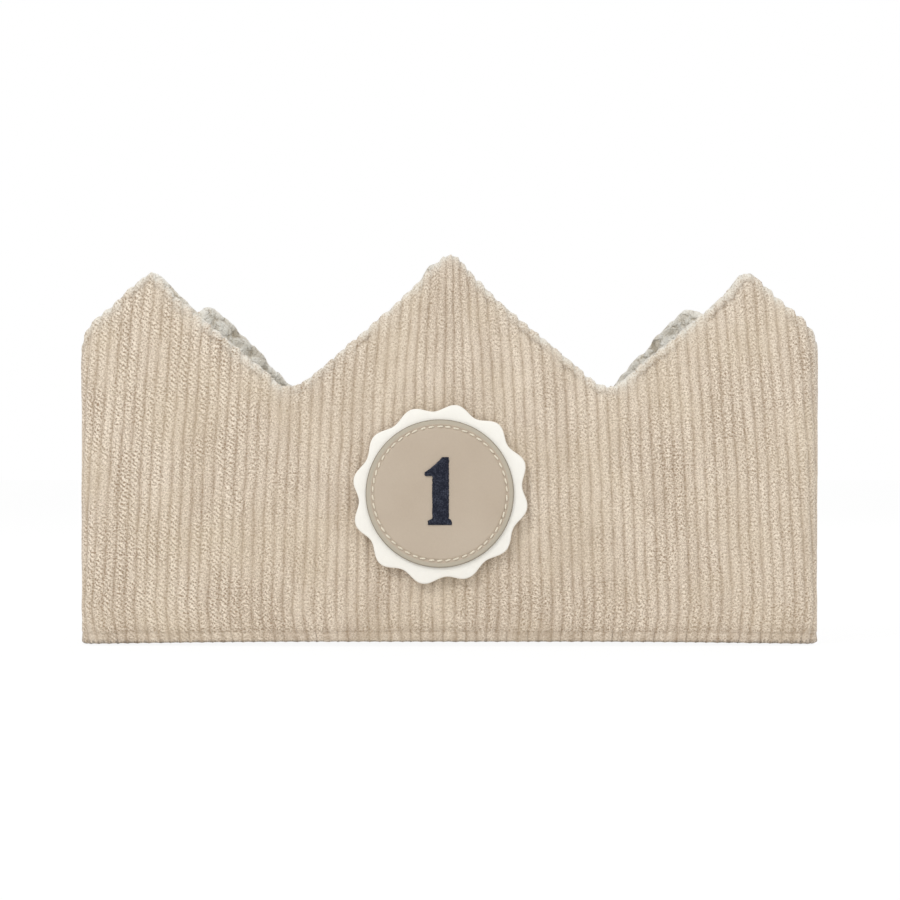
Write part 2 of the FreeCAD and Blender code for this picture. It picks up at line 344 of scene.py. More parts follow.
def corduroy_piece():
    """The outer band: a closed sleeve round the sewn strip, eight columns to a wale.

    Across a wale the pile stands 0.3 + 0.7 |sin(pi u)|^0.6 of its height, and patches of pile fill up to
    0.6 of a groove. Near the edges the sleeve's thickness falls off as a round roll. The upper edge takes
    0.3 of its height from the middle of each wale, which makes stairs of the flanks, and each wale ends
    there in a bead. At the side folds the roll is tighter and the edge higher, by bells. The seam is a
    bell-shaped dent under the upper edge, broken by noise, and the hem another that wavers above the lower
    edge. Under the hem each wale stands a little aside of its upper part."""
    across = 8
    u = np.arange(across * WALE_COUNT + 1) / across
    wale = np.floor(np.clip(u, 0, WALE_COUNT - 0.001)).astype(int)
    ground = TUCKED_END + u * WALE_PITCH
    random = np.random.default_rng(5)
    wale_size = random.uniform(0.86, 1.08, WALE_COUNT)[wale]
    wale_rise = random.normal(0, 0.22, WALE_COUNT)[wale]
    wale_jog = random.uniform(-0.55, 0.55, WALE_COUNT)[wale]
    swell = 0.3 + 0.7 * np.abs(np.sin(np.pi * u)) ** 0.6

    middle = TUCKED_END + (wale + 0.5) * WALE_PITCH
    top = leaning_top(ground)
    lean = steepness(top, ground)
    top = 0.7 * top + 0.3 * leaning_top(middle)
    at_fold = np.exp(-((np.abs(ground) - FOLD_PLACE - 3) / 6) ** 2)
    tight = 1 - 0.6 * at_fold
    bead = (0.9 * swell * wale_size - 0.65 + 0.5 * wale_rise) * (1 + 0.35 * (lean - 1))
    bead = bead + 0.28 * waves(ground / 0.8, 0 * ground, 19) + 1.1 * at_fold
    bottom = lower_edge(ground) + 0.25 * swell
    top = top + bead

    low_radius, high_radius, end_radius = 0.8, 1.5, 1.5
    roll = 1 - np.cos(np.radians([0, 16, 32, 48, 66, 90]))
    low_roll, high_roll = low_radius * roll, high_radius * roll[::-1]
    # Rows stand close together where the hem and the seam dent the pile
    low = np.concatenate([low_roll, HEM_INSET + np.array([-0.5, 0.0, 0.5])])
    high = np.concatenate([SEAM_INSET + np.array([0.9, 0.4, 0.0, -0.4]), high_roll])
    shown, hidden = np.linspace(0, 1, 42)[1:-1], np.linspace(0, 1, 8)[1:-1]
    z, outside = two_faces(
        row_heights(bottom, top, lean * tight, shown, low, high),
        row_heights(bottom, top, lean * tight, hidden, low_roll[1::2], high_roll[::2][:-1]))

    to_top = (top[:, None] - z) / lean[:, None]
    to_bottom = z - bottom[:, None]
    to_end = np.minimum(ground - TUCKED_END, CLOSING_END - ground)[:, None]
    full = np.minimum(rounded(to_top, high_radius * tight[:, None]), rounded(to_bottom, low_radius))
    full = np.minimum(full, rounded(to_end, end_radius))

    place = ground[:, None]
    groove = np.round(u)[:, None]
    filled = np.clip(0.12 + 0.45 * waves(groove * 1.7, z / 4.0, 16), 0.0, 0.6)
    swell = swell[:, None] + (1 - swell[:, None]) * filled
    pile = WALE_HEIGHT * swell * wale_size[:, None] * (1 + 0.12 * waves(place / 3.4, z / 7, 11))
    pile = pile + 0.07 * waves(place / 1.1, z / 1.3, 17)
    seam = np.exp(-((to_top - SEAM_INSET) / 0.5) ** 2)
    seam = seam * np.clip(0.5 + 0.9 * waves(place / 5, 0 * z, 12), 0, 1)
    hem = np.exp(-((to_bottom - HEM_INSET - 0.3 * waves(place / 6, 0 * z, 13)) / 0.45) ** 2)
    billow = 0.175 * waves(place / 42, z / 38, 14)
    inner = -SHELL_THICKNESS / 2
    outward = 1.0 + pile - 0.5 * seam - 0.28 * hem
    offset = inner + full * (np.where(outside > 0, outward, inner) + billow * outside)

    jog = np.where(to_bottom < HEM_INSET, wale_jog[:, None], 0.0) * outside
    wander = 0.2 * waves(place / 9, z / 11, 15) + 0.2 * waves(groove * 1.3, z / 4.5, 18)
    at = place + wale_lean(place, z) + jog + wander
    at = np.clip(at, TUCKED_END, CLOSING_END)
    at = np.where(to_end < end_radius + 0.1, place, at)
    piece = sleeve_mesh("outer_corduroy_cloth", on_band(at, offset, z))

    # swell also sets the painted shade in the grooves, in the corduroy's material
    pattern = np.stack([np.broadcast_to(u[:, None], z.shape), z, swell * outside], -1)
    keep_pattern(piece, "wale", pattern)
    # rim marks the pale fuzz and the painted highlight along the upper edge
    rim = np.exp(-to_top / 1.5) * outside
    keep_pattern(piece, "edge", np.stack([seam * outside, hem * outside, rim], -1))
    return weld(piece), strip_area(top, ground)


def fleece_piece():
    """The lining: a closed pillow behind the corduroy. Its inner face is covered with curls, domes of
    three sizes laid over each other, which are flatter at the side folds and pressed where the closure is
    sewn. Its upper edge is that of the band plus noise. In front it peeks over the corduroy's at four bells,
    given by their place, reach and rise, and behind it ends in tufts."""
    columns = 720
    place = np.linspace(TUCKED_END, CLOSING_END, columns)
    top = outline(place)
    lean = steepness(top, place)
    peek = 0.35 + 0.5 * waves(place / 4.5, 0 * place, 21) + 0.35 * waves(place / 1.7, 0 * place, 22)
    for centre, reach, rise in ((-86.5, 5.5, 1.5), (-6.8, 2.0, 2.2), (93.0, 3.0, 0.5), (-98.0, 3.0, 0.3)):
        peek = peek + rise * np.exp(-((place - centre) / reach) ** 2)
    behind = np.abs(place) > FOLD_PLACE + 4
    peek = np.where(behind, peek + 1.9 * curls(place, 0 * place + 3.0, 3.0, 23) - 0.6, peek - 0.35)
    top = top - 0.2 + peek
    bottom = lower_edge(place) + 0.2 + 0.25 * curls(place, 0 * place + 9.0, 3.0, 24)

    low_radius, high_radius, end_radius = 1.6, 1.8, 1.8
    roll = 1 - np.cos(np.radians([0, 20, 42, 66, 90]))
    low, high = low_radius * roll, high_radius * roll[::-1]
    shown, hidden = np.linspace(0, 1, 112)[1:-1], np.linspace(0, 1, 8)[1:-1]
    z, inside = two_faces(
        row_heights(bottom, top, lean, shown, low, high),
        row_heights(bottom, top, lean, hidden, low[1::2], high[::2][:-1]))
    to_top = (top[:, None] - z) / lean[:, None]
    to_end = np.minimum(place - TUCKED_END, CLOSING_END - place)[:, None]
    full = np.minimum(rounded(to_top, high_radius + 0.1), rounded(z - bottom[:, None], low_radius))
    full = np.minimum(full, rounded(to_end, end_radius))

    at = place[:, None] + 0.5 * waves(place[:, None] / 2.1, z / 2.3, 25)
    up = z + 0.5 * waves(place[:, None] / 2.4, z / 1.9, 26)
    tufts = 0.72 * curls(at, up, 3.9, 27) + 0.2 * curls(at, up, 2.3, 28) + 0.16 * curls(at, up, 7.5, 29)
    tape_bottom, tape_top = 10, 64
    taped = (at > CLOSING_END - CLOSURE_OVERLAP) & (z > tape_bottom) & (z < tape_top)
    folded = np.exp(-((np.abs(at) - FOLD_PLACE - 1) / 7) ** 2)
    relief = np.where(taped, 0.15, 1.0) * (1 - 0.6 * folded)
    thick = INNER_FACE - LINING_FACE
    middle = -(INNER_FACE + LINING_FACE) / 2
    inward = thick / 2 + relief * (2.3 * tufts - 1.35)
    offset = middle - full * np.where(inside > 0, inward, -thick / 2)
    along = np.broadcast_to(place[:, None], z.shape)
    piece = sleeve_mesh("fleece_lining_pile", on_band(along, offset, z)[:, ::-1])
    # The tufts' heights also set the painted shade in the hollows, in the fleece's material
    pattern = np.stack([along, z, tufts * inside + 0.5 * (1 - inside)], -1)
    keep_pattern(piece, "tuft", pattern[:, ::-1])
    return weld(piece), strip_area(top, place)


def badge_points(x, depth, z):
    """Points of the badge: x and z from the disc's middle, and the depth in front of the wales' crests."""
    x, depth, z = np.broadcast_arrays(x, depth, z)
    return np.stack([BADGE_X + x, FRONT_Y - WALE_HEIGHT - depth, BADGE_Z + z], -1)


def turned(radius, share, angles):
    """x and z from the badge's middle of a section carried round it: share of the radius at each angle."""
    reach = radius * share[None]
    return reach * np.cos(angles)[:, None], reach * np.sin(angles)[:, None]


def rosette_piece():
    """The scalloped felt: a circle and twelve lobes, made uneven by smaller waves round it, with a soft
    edge. The radius is the circle's plus the sum of size * cos(count * angle - turn)."""
    angles = np.linspace(0, 2 * np.pi, 720, endpoint=False)
    radius = np.full(angles.shape, ROSETTE_RADIUS)
    lobes = ((12, 1.12, -126), (2, 0.57, 114), (3, 0.17, 19), (1, 0.19, -72), (14, 0.13, -26))
    for count, size, turn in lobes:
        radius = radius + size * np.cos(count * angles - math.radians(turn))
    back, front, edge, reach = 2.15, 3.25, 0.4, 27.4
    bend = np.radians(np.linspace(-90, 90, 9))
    rim = np.stack([1 - edge * (1 - np.cos(bend)) / reach,
                    (back + front) / 2 + (front - back) / 2 * np.sin(bend)], -1)
    profile = np.concatenate([[(0, back)], [(0.5, back)], rim, [(0.9, front)], [(0.5, front)], [(0, front)]])
    x, z = turned(radius[:, None], profile[:, 0], angles)
    return weld(turned_mesh("badge_rosette_felt", badge_points(x, profile[:, 1], z)))


def disc_piece():
    """The disc: it falls from its middle by 0.1 mm times the square of the share of the radius, steps down
    by 0.16 mm at the stitches and has a rolled rim. The stitches lie in a bell-shaped channel, which a
    cosine wave makes deepest where the thread goes in, between them. Noise makes the face uneven."""
    angles = np.linspace(0, 2 * np.pi, 600, endpoint=False)
    back, front = 3.3, 4.6
    share = np.concatenate([np.linspace(0, 0.8, 22), np.linspace(0.82, 0.97, 26)])
    rim = np.radians(np.linspace(10, 90, 8))
    rim_share = 0.972 + 0.028 * np.sin(rim)
    rim_depth = front - 0.24 - 0.55 * (1 - np.cos(rim))
    step = 0.16 / (1 + np.exp(-(share * DISC_RADIUS - STITCH_RADIUS) / 0.25))
    profile = np.concatenate([
        np.stack([share, front - 0.1 * share ** 2 - step], -1),
        np.stack([rim_share, rim_depth], -1),
        [(1.0, back + 0.2), (0.99, back), (0.5, back), (0, back)],
    ])[::-1]
    x, z = turned(DISC_RADIUS, profile[:, 0], angles)
    face = profile[:, 1] > front - 0.45
    channel = np.exp(-((np.hypot(x, z) - STITCH_RADIUS) / 0.42) ** 2)
    pull = 0.5 + 0.5 * np.cos(STITCH_COUNT * angles)[:, None]
    dent = (0.2 + 0.16 * pull) * channel + 0.05 * waves(x / 7, z / 7, 41) + 0.03 * waves(x / 2.5, z / 4, 42)
    depth = profile[:, 1] - np.where(face, dent, 0)
    return weld(turned_mesh("badge_disc_hide", badge_points(x, depth, z)))


def stitches_piece():
    """Stitches of thick thread round the disc: each a bent capsule, 2.1 mm long and 0.6 mm thick, turned a
    little off the circle. From t = -1 to 1 its thickness is the root of 1 - t^4, and it rises by 1 - t^2."""
    count, rings, sides = STITCH_COUNT, 9, 8
    random = np.random.default_rng(51)
    middle = (np.arange(count) + 0.5 + random.uniform(-0.06, 0.06, count)) * 2 * np.pi / count
    slant = math.radians(7) + random.normal(0, 0.03, count)
    half = 1.05 * random.uniform(0.94, 1.05, count)
    t = np.linspace(-1, 1, rings)
    thick = 0.29 * np.sqrt(np.clip(1 - np.abs(t) ** 4, 0, 1))
    turn = np.linspace(0, 2 * np.pi, sides, endpoint=False)
    run = half[:, None] * t[None]
    tangent = np.stack([-np.sin(middle + slant), np.cos(middle + slant)], -1)
    normal = np.stack([np.cos(middle + slant), np.sin(middle + slant)], -1)
    centre = STITCH_RADIUS * np.stack([np.cos(middle), np.sin(middle)], -1)
    line = centre[:, None] + tangent[:, None] * run[..., None]
    wide = (thick[:, None] * np.cos(turn)[None])[None]
    tall = (thick[:, None] * np.sin(turn)[None])[None]
    x = line[:, :, None, 0] + normal[:, None, None, 0] * wide
    z = line[:, :, None, 1] + normal[:, None, None, 1] * wide
    depth = 4.32 + 0.22 * (1 - t ** 2)[None, :, None] + tall
    index = np.arange(count * rings * sides).reshape(count, rings, sides)
    after = np.roll(index, -1, axis=2)
    faces = np.stack([index[:, :-1], index[:, 1:], after[:, 1:], after[:, :-1]], -1)
    return weld(mesh_from("badge_disc_stitches", badge_points(x, depth, z), faces))


def numeral_piece():
    """The flocked figure 1. At each height it has a left and a right edge; between them its face stands
    up by 0.58 mm with soft edges, and the fibres make the outline a little uneven.

    From the bottom: a foot that flares out on both sides by a power of the height, the stem, a flag that
    ends 4.85 mm left of the middle, and above it a slanting edge, bowed by a parabola, up to the tip."""
    stem_left, stem_right, flag_left = -2.42, 2.95, -4.85
    half_height, foot, flag_bottom, flag_top = 10.9, -8.8, 4.8, 6.0
    z = np.concatenate([
        np.linspace(-half_height, -9.5, 8), np.linspace(-9.4, foot, 5), np.linspace(-8.7, 4.7, 60),
        [4.79, 4.81], np.linspace(4.9, flag_top, 8), np.linspace(6.1, half_height, 28),
    ])
    flare = np.clip((foot - z) / 0.7, 0, 1) ** 0.7
    bow = np.clip((z - flag_top) / 4.9, 0, 1)
    slant = np.interp(z, [flag_top, half_height], [flag_left, 0.75]) + 1.9 * bow * (1 - bow)
    stem = np.where(z <= flag_bottom, stem_left - 1.43 * flare, flag_left)
    left = np.where(z < flag_top, stem, slant)
    left = left + np.where((z > flag_bottom) & (z < flag_top), 0.25 * ((z - 5.4) / 0.6) ** 2, 0)
    far = stem_right + 0.9 * flare
    ends = rounded(half_height - np.abs(z), 0.3)
    left = left + 0.08 * waves(z * 2.2, 0 * z, 61)
    far = far + 0.08 * waves(z * 2.2, 0 * z, 62)
    s = np.linspace(0, 1, 23)
    x = left[:, None] + (far - left)[:, None] * (0.5 - 0.5 * np.cos(np.pi * s))[None]
    from_side = np.minimum(x - left[:, None], far[:, None] - x)
    face = rounded(from_side, 0.3) * ends[:, None]
    base, tall = 4.42, 0.58
    front = base + tall * face + 0.05 * waves(x * 2.0, z[:, None] * 2.0, 63) * face
    across = np.concatenate([x, x[:, -2:0:-1]], axis=1)
    depth = np.concatenate([front, np.full((len(z), len(s) - 2), base)], axis=1)
    rise = 0.8
    points = badge_points(across, depth, z[:, None] + rise)
    # The foot's and the tip's last sections lie at one depth, so that they close
    points[0, :, 1] = points[0, :1, 1]
    points[-1, :, 1] = points[-1, :1, 1]
    return weld(sleeve_mesh("badge_numeral_flock", points[:, ::-1]))


# Materials

class Socket:
    """An output socket that can be reckoned with: each operator adds a Math node."""

    def __init__(self, nodes, socket):
        self.nodes = nodes
        self.socket = socket

    def also(self, name):
        """Another output of the same node."""
        return Socket(self.nodes, self.socket.node.outputs[name])

    def _math(self, operation, *values):
        return self.nodes.node("ShaderNodeMath", {"operation": operation}, dict(enumerate(values)))

    def __add__(self, other):
        return self._math("ADD", self, other)

    def __radd__(self, other):
        return self._math("ADD", other, self)

    def __sub__(self, other):
        return self._math("SUBTRACT", self, other)

    def __rsub__(self, other):
        return self._math("SUBTRACT", other, self)

    def __mul__(self, other):
        return self._math("MULTIPLY", self, other)

    def __rmul__(self, other):
        return self._math("MULTIPLY", other, self)

    def __truediv__(self, other):
        return self._math("DIVIDE", self, other)

    def __pow__(self, other):
        return self._math("POWER", self, other)

    def __abs__(self):
        return self._math("ABSOLUTE", self)

    def sine(self):
        return self._math("SINE", self)

    def fraction(self):
        return self._math("FRACT", self)

    def floor(self):
        return self._math("FLOOR", self)

    def at_most(self, other):
        return self._math("MINIMUM", self, other)

    def at_least(self, other):
        return self._math("MAXIMUM", self, other)

    def clamp(self):
        return self.at_least(0.0).at_most(1.0)


class Nodes:
    """The nodes of a material or of the world."""

    def __init__(self, owner):
        owner.use_nodes = True
        self.tree = owner.node_tree
        self.tree.nodes.clear()

    def node(self, kind, settings=None, inputs=None, output=0):
        """Adds a node. Its settings come before its inputs, which are values or sockets, because some
        settings change the inputs that it has."""
        made = self.tree.nodes.new(kind)
        for key, value in (settings or {}).items():
            setattr(made, key, value)
        for key, value in (inputs or {}).items():
            if isinstance(value, Socket):
                self.tree.links.new(value.socket, made.inputs[key])
            else:
                made.inputs[key].default_value = value
        return Socket(self, made.outputs[output]) if made.outputs else None

    def seen(self):
        """1 for rays from the camera and for reflections, else 0."""
        camera_ray = self.node("ShaderNodeLightPath", output="Is Camera Ray")
        return camera_ray.at_least(camera_ray.also("Is Glossy Ray"))


class Finish(Nodes):
    """One procedural material."""

    def __init__(self, name):
        self.material = bpy.data.materials.new(name)
        super().__init__(self.material)

    def split(self, vector):
        """The x, y and z of a vector."""
        x = self.node("ShaderNodeSeparateXYZ", inputs={0: vector})
        return x, x.also("Y"), x.also("Z")

    def pattern(self, name):
        """The three values stored on the piece under a name."""
        return self.split(self.node("ShaderNodeAttribute", {"attribute_name": name}, output="Vector"))

    def place(self):
        """Where a point is on the piece, in metres."""
        return self.node("ShaderNodeTexCoord", output="Object")

    def vector(self, x, y, z):
        """A vector of three values."""
        return self.node("ShaderNodeCombineXYZ", inputs={0: x, 1: y, 2: z})

    def noise(self, vector, scale, detail=2.0, rough=0.5, distortion=0.0):
        """Smooth noise from 0 to 1, scale times to a unit of the vector."""
        return self.node("ShaderNodeTexNoise", inputs={
            "Vector": vector, "Scale": scale, "Detail": detail, "Roughness": rough,
            "Distortion": distortion})

    def cells(self, vector, scale, randomness=1.0):
        """Distance to the nearest of scattered points."""
        return self.node("ShaderNodeTexVoronoi", {"feature": "F1"}, {
            "Vector": vector, "Scale": scale, "Randomness": randomness})

    def mix(self, factor, first, second):
        """The first colour at 0, the second at 1. Inputs 6 and 7 and output 2 are the node's colours."""
        return self.node("ShaderNodeMix", {"data_type": "RGBA"}, {0: factor, 6: first, 7: second}, output=2)

    def bump(self, height, distance, strength, before=None):
        """A normal from heights, on top of the normal before it."""
        inputs = {"Height": height, "Distance": distance, "Strength": strength}
        if before is not None:
            inputs["Normal"] = before
        return self.node("ShaderNodeBump", inputs=inputs)

    def surface(self, colour, roughness, normal, **uniform):
        """The finished material. The uniform values are set on the shader's sockets of those names."""
        inputs = {"Base Color": colour, "Roughness": roughness, "Normal": normal}
        inputs.update({key.replace("_", " "): value for key, value in uniform.items()})
        shader = self.node("ShaderNodeBsdfPrincipled", inputs=inputs)
        self.node("ShaderNodeOutputMaterial", inputs={"Surface": shader})
        return self.material


def shade(red, green, blue):
    """A colour written as in a picture, 0 to 255, made linear for a shader: a share p of 255 becomes
    p / 12.92 up to 0.04045, and ((p + 0.055) / 1.055)^2.4 above it."""
    parts = [value / 255 for value in (red, green, blue)]
    return tuple(p / 12.92 if p <= 0.04045 else ((p + 0.055) / 1.055) ** 2.4 for p in parts) + (1.0,)


def corduroy_finish():
    """Cut pile in wales. Each wale is a rope of tufts: the sine of the sum of the height, a slant across
    the wale, noise and the wale's own shift. The slant runs one way on the left and in chevrons on the
    right. Patches of the pile are rubbed flat, and it is calmer round the badge and in the hem. Painted
    shade darkens the grooves, broken, and the wales' flanks; the seam and hem dents get lines of painted
    shade, and nibs of painted shade stand along the bottom edge. The upper edge is pale fuzz with a
    painted highlight. Lengths are in millimetres, and u counts wales from the tucked end."""
    grain_pitch, tuft_row = 3.38, 1.5
    chevrons_from, ropes_until = 72.0, 60.0
    f = Finish("corduroy")
    u, up, swell = f.pattern("wale")
    seam, hem, rim = f.pattern("edge")
    run = u * grain_pitch
    seed = f.node("ShaderNodeTexWhiteNoise", {"noise_dimensions": "1D"}, {"W": u.floor()})
    across = u.fraction() - 0.5
    where = f.vector(run, up, 0.0)
    warp = f.noise(where, 0.6, 2.0, 0.6) - 0.5
    tuft = f.noise(where, 1.6, 2.0, 0.6) - 0.5
    fine = f.noise(where, 3.0, 2.0, 0.7) - 0.5

    rubbed = ((f.noise(f.vector(run, up * 0.3, 5.0), 0.17, 2.0, 0.6) - 0.38) * 6.0).clamp()
    chevron = ((u - chevrons_from) * 0.1 + (seed - 0.5) * 5.0).clamp()
    slant = across * 1.7 * (1.0 - chevron) + abs(across) * 1.7 * chevron
    rope = ((up / tuft_row + slant + warp * 1.5 + seed * 7.0) * (2 * math.pi)).sine()
    crest = ((swell - 0.4) * 2.2).clamp()
    ropy = 0.3 - ((u - ropes_until) * 0.2).clamp() * 0.17
    roped = rope * rubbed * crest * ropy

    beside = u * WALE_PITCH - (BADGE_X - TUCKED_END)
    above = up - BADGE_Z - 12.0
    from_badge = (beside * beside + above * above) ** 0.5
    calm = 1.0 - (1.3 - from_badge / 62.0).clamp() * 0.42
    calm = calm * (1.0 - ((4.9 - up) / 0.8).clamp() * 0.4)
    speckle = roped + tuft * (1.8 + rubbed * 1.3) + fine * 2.1
    bloom = f.noise(f.vector(run, up * 0.4, 17.0), 0.1, 2.0, 0.6) - 0.5
    light = (0.56 + bloom * 0.5 + speckle * calm).clamp()
    pile = f.mix(light, shade(162, 140, 116), shade(253, 240, 222))

    # Painted shade in the grooves, broken by noise, and on the wales' flanks
    broken = ((f.noise(f.vector(run, up, 9.0), 0.9, 2.0, 0.7) - 0.36) * 4.0).clamp()
    groove = ((1.0 - swell) * 1.4).clamp() * (0.45 + broken * 0.55)
    flank_shade = ((abs(across) - 0.18) * 3.2).clamp()
    groove_shaded = f.mix((groove * 0.62 + flank_shade * 0.1).clamp(), pile, shade(160, 137, 112))
    stain = ((f.noise(where, 0.045, 2.0, 0.5) - 0.42) * 4.0).clamp()
    warm = f.mix(stain * 0.25, groove_shaded, shade(219, 203, 176))

    # Painted shade along the seam and hem dents
    sewn = (seam * (0.55 - fine * 2.0) + hem * 0.32).clamp()
    seam_hem_shaded = f.mix(sewn, warm, shade(146, 126, 104))
    # Dark nibs of painted shade along the bottom edge
    nibs = ((f.noise(f.vector(run, 0.0, 21.0), 0.9, 2.0, 0.7) - 0.42) * 7.0).clamp() * (2.1 - up).clamp()
    nib_shaded = f.mix(nibs * 0.6, seam_hem_shaded, shade(118, 108, 98))
    tufted = ((f.noise(f.vector(run, up, 13.0), 0.16, 2.0, 0.6) - 0.34) * 3.2).clamp()
    # The pale upper edge: pale fuzz, and a painted highlight where the fuzz catches the light
    fuzz = (rim * (tufted + 0.4 + tuft * 3.4)).clamp()
    fuzz_highlighted = f.mix(fuzz * 0.8, nib_shaded, shade(237, 234, 224))
    normal = f.bump(roped * 0.7 + tuft * 0.7 + fine * 0.5, 0.0006, 0.6)
    return f.surface(fuzz_highlighted, 0.95, normal, Sheen_Weight=0.3, Sheen_Roughness=0.4, Specular_IOR_Level=0.15)


def fleece_finish():
    """Cream curls, with painted shade in the hollows between the tufts. A curl is 1 less the squares of the
    distances to the nearest lock and to the nearest twist, two sets of scattered points that noise moves
    about."""
    f = Finish("fleece")
    along, up, tuft = f.pattern("tuft")
    drift = f.noise(f.vector(along, up, 0.0), 0.45, 2.0, 0.6) - 0.5
    slide = f.noise(f.vector(along, up, 7.0), 0.45, 2.0, 0.6) - 0.5
    bent = f.vector(along + drift * 5.0, up + slide * 5.0, 0.0)
    lock = f.cells(bent, 0.5)
    twist = f.cells(bent, 1.15)
    curl = 1.0 - lock * lock * 1.3 - twist * twist * 0.5
    fine = f.noise(f.vector(along, up, 3.0), 2.4, 3.0, 0.7) - 0.5
    # Painted shade: darker in the hollows between the tufts and between the curls
    light = (tuft * 0.7 + curl * 0.8 - 0.2 + fine * 0.9).clamp()
    pile = f.mix(light, shade(208, 197, 177), shade(255, 252, 243))
    normal = f.bump(curl + fine * 0.6, 0.001, 0.8)
    return f.surface(pile, 0.95, normal, Sheen_Weight=0.3, Sheen_Roughness=0.6, Specular_IOR_Level=0.1)


def felt_finish():
    """Smooth cream-white felt with a faint fibre."""
    f = Finish("rosette_felt")
    where = f.place()
    fibre = f.noise(where, 2200.0, 3.0, 0.7) - 0.5
    cloud = f.noise(where, 90.0)
    pile = f.mix((cloud * 0.6 + fibre * 0.6).clamp(), shade(250, 248, 241), shade(244, 240, 230))
    normal = f.bump(fibre, 0.00012, 0.6)
    return f.surface(pile, 0.9, normal, Sheen_Weight=0.1, Specular_IOR_Level=0.2)


def hide_finish():
    """Matt beige leather-look cloth, with a fine grain and faint creases. Painted shade makes it greyer on
    the sloping rim outside the stitches, and its cut edge is dark: the edge's own colour and painted shade.
    Lengths are in metres."""
    f = Finish("disc_leather")
    where = f.place()
    x, _, z = f.split(where)
    x = x - BADGE_X * MM
    z = z - BADGE_Z * MM
    away = (x * x + z * z) ** 0.5
    grain = f.noise(where, 1500.0, 3.0, 0.6) - 0.5
    crease = f.node("ShaderNodeTexNoise", {"noise_type": "RIDGED_MULTIFRACTAL"}, {
        "Vector": f.vector(x * 0.5, 0.0, z), "Scale": 130.0, "Detail": 3.0, "Distortion": 0.6})
    cloud = f.noise(where, 45.0)
    base = f.mix((cloud * 1.4 - 0.2 + grain * 0.5).clamp(), shade(186, 170, 151), shade(197, 183, 165))
    # Painted shade on the sloping rim outside the stitches
    rim_shade_start, rim_shade_blend = 0.0219, 0.0006
    rim_shaded = f.mix(((away - rim_shade_start) / rim_shade_blend).clamp() * 0.9, base, shade(184, 176, 159))
    # The dark cut edge: partly the edge's own darker colour, partly painted shade
    cut_start, cut_blend = 0.02325, 0.0003
    cut = f.mix(((away - cut_start) / cut_blend).clamp() * 0.75, rim_shaded, shade(120, 108, 92))
    normal = f.bump(grain, 0.00012, 0.6, f.bump(crease, 0.00025, 0.35))
    return f.surface(cut, 0.55 + grain * 0.2, normal, Specular_IOR_Level=0.35)


def thread_finish():
    """Cream thread, with a diagonal twist."""
    f = Finish("cream_thread")
    where = f.place()
    twist = f.node("ShaderNodeTexWave", {"bands_direction": "DIAGONAL"}, {
        "Vector": where, "Scale": 900.0, "Distortion": 1.0}, output=1)
    cloud = f.noise(where, 700.0)
    thread = f.mix((cloud * 0.6 + twist * 0.4).clamp(), shade(214, 202, 180), shade(245, 238, 220))
    return f.surface(thread, 0.75, f.bump(twist, 0.00008, 0.6), Sheen_Weight=0.2)


def flock_finish():
    """Navy flock: a short dense pile with paler specks."""
    f = Finish("numeral_flock")
    where = f.place()
    speck = f.noise(where, 2600.0, 2.0, 0.6)
    cloud = f.noise(where, 500.0)
    tone = f.mix(((speck - 0.45) * 2.4 + (cloud - 0.5)).clamp(), shade(31, 34, 46), shade(78, 82, 96))
    normal = f.bump(speck, 0.0003, 0.8)
    return f.surface(tone, 0.95, normal, Sheen_Weight=0.12, Sheen_Roughness=0.5, Specular_IOR_Level=0.1)


def tape_finish(name, loops):
    """Hook-and-loop tape: a mat of loops, or rows of small hooks."""
    f = Finish(name)
    where = f.place()
    if loops:
        mat = f.noise(where, 1400.0, 3.0, 0.7, 2.0)
        tone = f.mix(mat, shade(190, 178, 158), shade(228, 219, 202))
        return f.surface(tone, 0.9, f.bump(mat, 0.0005, 0.9), Sheen_Weight=0.3)
    rows = f.cells(where, 800.0, 0.2)
    tone = f.mix((rows * 1.6).clamp(), shade(222, 212, 195), shade(186, 174, 154))
    return f.surface(tone, 0.5, f.bump(rows, 0.0005, 0.9))


def interlining_finish():
    """Stiff white non-woven cloth, with a faint felted fibre."""
    f = Finish("interlining")
    fibre = f.noise(f.place(), 600.0, 4.0, 0.7, 1.0)
    tone = f.mix(fibre, shade(226, 224, 216), shade(240, 238, 231))
    return f.surface(tone, 0.85, f.bump(fibre, 0.0002, 0.5))


def dress(piece, material, slot, *nodes):
    """Gives a new piece its material and its body, and hides the imported solids that it stands for. The
    slot argument is not used.
    """
    piece.data.materials.append(material)
    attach(piece, "root")
    if nodes:
        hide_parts(*nodes)


def dress_node(name, material):
    """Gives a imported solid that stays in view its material."""
    for piece in bpy.data.objects:
        if piece.type == "MESH" and piece.name.split(".")[0] == name:
            for place in piece.material_slots:
                place.material = material


corduroy, corduroy_area = corduroy_piece()
fleece, fleece_area = fleece_piece()
rosette = rosette_piece()
disc = disc_piece()
stitches = stitches_piece()
numeral = numeral_piece()

dress(corduroy, corduroy_finish(), "corduroy", "outer_corduroy")
dress(fleece, fleece_finish(), "fleece", "fleece_lining")
dress(rosette, felt_finish(), "rosette_felt", "badge_rosette")
dress(disc, hide_finish(), "disc_leather", "badge_disc")
dress(stitches, thread_finish(), "disc_leather")
dress(numeral, flock_finish(), "numeral_flock", "badge_numeral")
loop_tape, hook_tape = tape_finish("loop_tape", True), tape_finish("hook_tape", False)
dress_node("closure_loop_strip", loop_tape)
dress_node("badge_loop_dot", loop_tape)
dress_node("closure_hook_strip", hook_tape)
dress_node("badge_hook_dot", hook_tape)
dress_node("interlining", interlining_finish())


# The studio

WHITE = (1.0, 1.0, 1.0, 1.0)
LAMP_AIM = (0.0, 0.0, 0.05)


